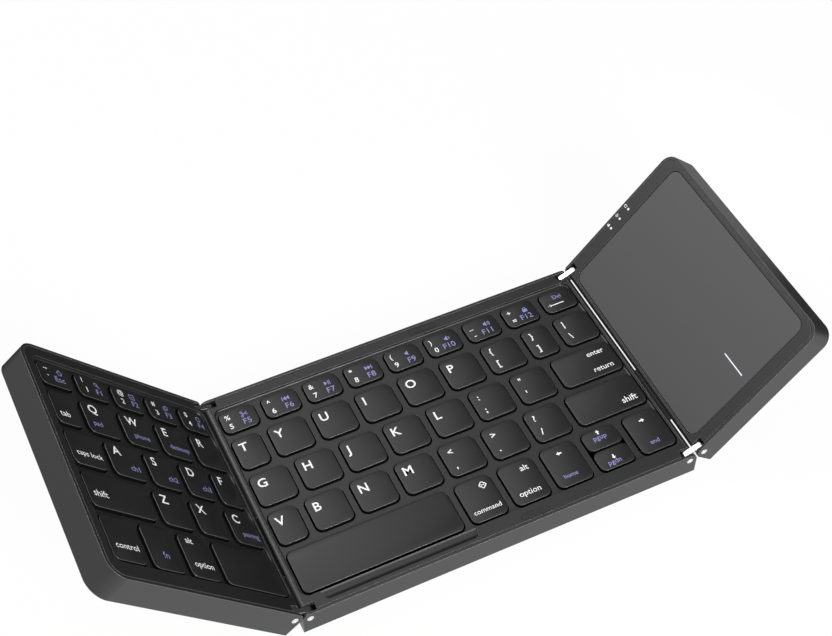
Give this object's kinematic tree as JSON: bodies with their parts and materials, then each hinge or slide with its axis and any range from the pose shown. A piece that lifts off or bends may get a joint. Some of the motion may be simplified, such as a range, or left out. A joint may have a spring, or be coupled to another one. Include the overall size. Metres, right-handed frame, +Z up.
{
  "type": "folding keyboard",
  "caption": "Thin keyboard in panels that fold on double-pivot link hinges: key panels with scissor keys and a touchpad panel that clicks, outer panels folding over the middle.",
  "frame": {"origin": "on the desk below the centre of the bounding box, at the undersides of the middle panel's feet", "axes": "+X is the user's right, +Y is away from the user, +Z is up"},
  "size_m": [0.2882, 0.106, 0.0845],
  "materials": {
    "shell_plastic": "moulded, fine texture",
    "frame_plastic": "moulded, fine texture",
    "keycap_plastic": "moulded, matte",
    "plate_steel": "rolled sheet, black coated",
    "membrane_film": "printed film",
    "dome_rubber": "moulded silicone",
    "scissor_plastic": "moulded",
    "circuit_board": "solder mask",
    "screw_steel": "plated",
    "foot_rubber": "moulded",
    "pin_steel": "turned",
    "link_metal": "stamped and polished",
    "ribbon_film": "coated film",
    "touchpad_surface": "etched, matte",
    "switch_metal": "stamped",
    "battery_foil": "foil pouch",
    "socket_steel": "drawn shell",
    "light_pipe_plastic": "clear moulded"
  },
  "bodies": {
    "middle": {"shell_mid": "shell_plastic", "frame_mid": "frame_plastic", "plate_mid": "plate_steel", "membrane_mid": "membrane_film", "domes_mid": "dome_rubber", "scissors_mid": "scissor_plastic", "main_board": "circuit_board", "screws_mid": "screw_steel", "feet_mid": "foot_rubber", "bumpers_mid": "foot_rubber", "pins_mid": "pin_steel"},
    "left_links": {"links_left": "link_metal", "ribbon_left": "ribbon_film"},
    "left_panel": {"shell_left": "shell_plastic", "frame_left": "frame_plastic", "plate_left": "plate_steel", "membrane_left": "membrane_film", "domes_left": "dome_rubber", "scissors_left": "scissor_plastic", "board_left": "circuit_board", "screws_left": "screw_steel", "feet_left": "foot_rubber", "pins_left": "pin_steel"},
    "right_links": {"links_right": "link_metal", "ribbon_right": "ribbon_film"},
    "right_panel": {"shell_right": "shell_plastic", "frame_right": "frame_plastic", "pad_tray": "plate_steel", "click_switch": "switch_metal", "power_board": "circuit_board", "battery": "battery_foil", "usb_socket": "socket_steel", "light_pipes": "light_pipe_plastic", "screws_right": "screw_steel", "feet_right": "foot_rubber", "pins_right": "pin_steel"},
    "touchpad": {"touchpad": "touchpad_surface", "touchpad_board": "circuit_board"},
    "keys_number_mid": {"keys_number_mid": "keycap_plastic"},
    "keys_upper_mid": {"keys_upper_mid": "keycap_plastic"},
    "keys_home_mid": {"keys_home_mid": "keycap_plastic"},
    "key_enter": {"key_enter": "keycap_plastic"},
    "keys_lower_mid": {"keys_lower_mid": "keycap_plastic"},
    "key_shift_right": {"key_shift_right": "keycap_plastic"},
    "key_space_mid": {"key_space_mid": "keycap_plastic"},
    "keys_modifier_mid": {"keys_modifier_mid": "keycap_plastic"},
    "key_arrow_left": {"key_arrow_left": "keycap_plastic"},
    "key_arrow_up": {"key_arrow_up": "keycap_plastic"},
    "key_arrow_down": {"key_arrow_down": "keycap_plastic"},
    "key_arrow_right": {"key_arrow_right": "keycap_plastic"},
    "key_escape": {"key_escape": "keycap_plastic"},
    "keys_number_left": {"keys_number_left": "keycap_plastic"},
    "key_tab": {"key_tab": "keycap_plastic"},
    "keys_upper_left": {"keys_upper_left": "keycap_plastic"},
    "key_caps_lock": {"key_caps_lock": "keycap_plastic"},
    "keys_home_left": {"keys_home_left": "keycap_plastic"},
    "key_shift_left": {"key_shift_left": "keycap_plastic"},
    "keys_lower_left": {"keys_lower_left": "keycap_plastic"},
    "keys_modifier_left": {"keys_modifier_left": "keycap_plastic"},
    "key_space_left": {"key_space_left": "keycap_plastic"}
  },
  "joints": [
    {"name": "left_inner_hinge", "type": "hinge", "parent": "middle", "child": "left_links", "pos_m": [-0.07229, 0, 0.0086], "axis": [0, 1, 0], "range_deg": [-25, 64.6], "deforming": ["ribbon_left"]},
    {"name": "left_outer_hinge", "type": "hinge", "parent": "left_links", "child": "left_panel", "pos_m": [-0.07818, 0, 0.01135], "axis": [0, 1, 0], "range_deg": [-25, 64.6]},
    {"name": "right_inner_hinge", "type": "hinge", "parent": "middle", "child": "right_links", "pos_m": [0.08771, 0, 0.0086], "axis": [0, -1, 0], "range_deg": [-24, 65.6], "deforming": ["ribbon_right"]},
    {"name": "right_outer_hinge", "type": "hinge", "parent": "right_links", "child": "right_panel", "pos_m": [0.09365, 0, 0.01124], "axis": [0, -1, 0], "range_deg": [-24, 65.6]},
    {"name": "keys_number_mid_press", "type": "slide", "parent": "middle", "child": "keys_number_mid", "axis": [0, 0, -1], "range_m": [0, 0.0012], "stiffness_N_per_m": 2700, "springref_m": -0.001},
    {"name": "keys_upper_mid_press", "type": "slide", "parent": "middle", "child": "keys_upper_mid", "axis": [0, 0, -1], "range_m": [0, 0.0012], "stiffness_N_per_m": 2700, "springref_m": -0.001},
    {"name": "keys_home_mid_press", "type": "slide", "parent": "middle", "child": "keys_home_mid", "axis": [0, 0, -1], "range_m": [0, 0.0012], "stiffness_N_per_m": 2100, "springref_m": -0.001},
    {"name": "key_enter_press", "type": "slide", "parent": "middle", "child": "key_enter", "axis": [0, 0, -1], "range_m": [0, 0.0012], "stiffness_N_per_m": 300, "springref_m": -0.001},
    {"name": "keys_lower_mid_press", "type": "slide", "parent": "middle", "child": "keys_lower_mid", "axis": [0, 0, -1], "range_m": [0, 0.0012], "stiffness_N_per_m": 2100, "springref_m": -0.001},
    {"name": "key_shift_right_press", "type": "slide", "parent": "middle", "child": "key_shift_right", "axis": [0, 0, -1], "range_m": [0, 0.0012], "stiffness_N_per_m": 300, "springref_m": -0.001},
    {"name": "key_space_mid_press", "type": "slide", "parent": "middle", "child": "key_space_mid", "axis": [0, 0, -1], "range_m": [0, 0.0012], "stiffness_N_per_m": 300, "springref_m": -0.001, "deforming": ["domes_mid", "scissors_mid"]},
    {"name": "keys_modifier_mid_press", "type": "slide", "parent": "middle", "child": "keys_modifier_mid", "axis": [0, 0, -1], "range_m": [0, 0.0012], "stiffness_N_per_m": 600, "springref_m": -0.001},
    {"name": "key_arrow_left_press", "type": "slide", "parent": "middle", "child": "key_arrow_left", "axis": [0, 0, -1], "range_m": [0, 0.0012], "stiffness_N_per_m": 300, "springref_m": -0.001},
    {"name": "key_arrow_up_press", "type": "slide", "parent": "middle", "child": "key_arrow_up", "axis": [0, 0, -1], "range_m": [0, 0.0012], "stiffness_N_per_m": 300, "springref_m": -0.001},
    {"name": "key_arrow_down_press", "type": "slide", "parent": "middle", "child": "key_arrow_down", "axis": [0, 0, -1], "range_m": [0, 0.0012], "stiffness_N_per_m": 300, "springref_m": -0.001},
    {"name": "key_arrow_right_press", "type": "slide", "parent": "middle", "child": "key_arrow_right", "axis": [0, 0, -1], "range_m": [0, 0.0012], "stiffness_N_per_m": 300, "springref_m": -0.001},
    {"name": "key_escape_press", "type": "slide", "parent": "left_panel", "child": "key_escape", "axis": [-0.766, 0, -0.6428], "range_m": [0, 0.0012], "stiffness_N_per_m": 300, "springref_m": -0.001},
    {"name": "keys_number_left_press", "type": "slide", "parent": "left_panel", "child": "keys_number_left", "axis": [-0.766, 0, -0.6428], "range_m": [0, 0.0012], "stiffness_N_per_m": 1200, "springref_m": -0.001},
    {"name": "key_tab_press", "type": "slide", "parent": "left_panel", "child": "key_tab", "axis": [-0.766, 0, -0.6428], "range_m": [0, 0.0012], "stiffness_N_per_m": 300, "springref_m": -0.001},
    {"name": "keys_upper_left_press", "type": "slide", "parent": "left_panel", "child": "keys_upper_left", "axis": [-0.766, 0, -0.6428], "range_m": [0, 0.0012], "stiffness_N_per_m": 1200, "springref_m": -0.001},
    {"name": "key_caps_lock_press", "type": "slide", "parent": "left_panel", "child": "key_caps_lock", "axis": [-0.766, 0, -0.6428], "range_m": [0, 0.0012], "stiffness_N_per_m": 300, "springref_m": -0.001},
    {"name": "keys_home_left_press", "type": "slide", "parent": "left_panel", "child": "keys_home_left", "axis": [-0.766, 0, -0.6428], "range_m": [0, 0.0012], "stiffness_N_per_m": 1200, "springref_m": -0.001},
    {"name": "key_shift_left_press", "type": "slide", "parent": "left_panel", "child": "key_shift_left", "axis": [-0.766, 0, -0.6428], "range_m": [0, 0.0012], "stiffness_N_per_m": 300, "springref_m": -0.001},
    {"name": "keys_lower_left_press", "type": "slide", "parent": "left_panel", "child": "keys_lower_left", "axis": [-0.766, 0, -0.6428], "range_m": [0, 0.0012], "stiffness_N_per_m": 900, "springref_m": -0.001},
    {"name": "keys_modifier_left_press", "type": "slide", "parent": "left_panel", "child": "keys_modifier_left", "axis": [-0.766, 0, -0.6428], "range_m": [0, 0.0012], "stiffness_N_per_m": 900, "springref_m": -0.001},
    {"name": "key_space_left_press", "type": "slide", "parent": "left_panel", "child": "key_space_left", "axis": [-0.766, 0, -0.6428], "range_m": [0, 0.0012], "stiffness_N_per_m": 300, "springref_m": -0.001, "deforming": ["domes_left", "scissors_left"]},
    {"name": "touchpad_click", "type": "hinge", "parent": "right_panel", "child": "touchpad", "pos_m": [0.11439, 0.0443, 0.03529], "axis": [0.6691, 0, 0.7431], "range_deg": [0, 0.33], "stiffness_Nm_per_rad": 9, "springref_deg": -1.15}
  ],
  "couplings": [
    {"joint": "left_outer_hinge", "follows": "left_inner_hinge", "ratio": 1},
    {"joint": "right_outer_hinge", "follows": "right_inner_hinge", "ratio": 1}
  ]
}
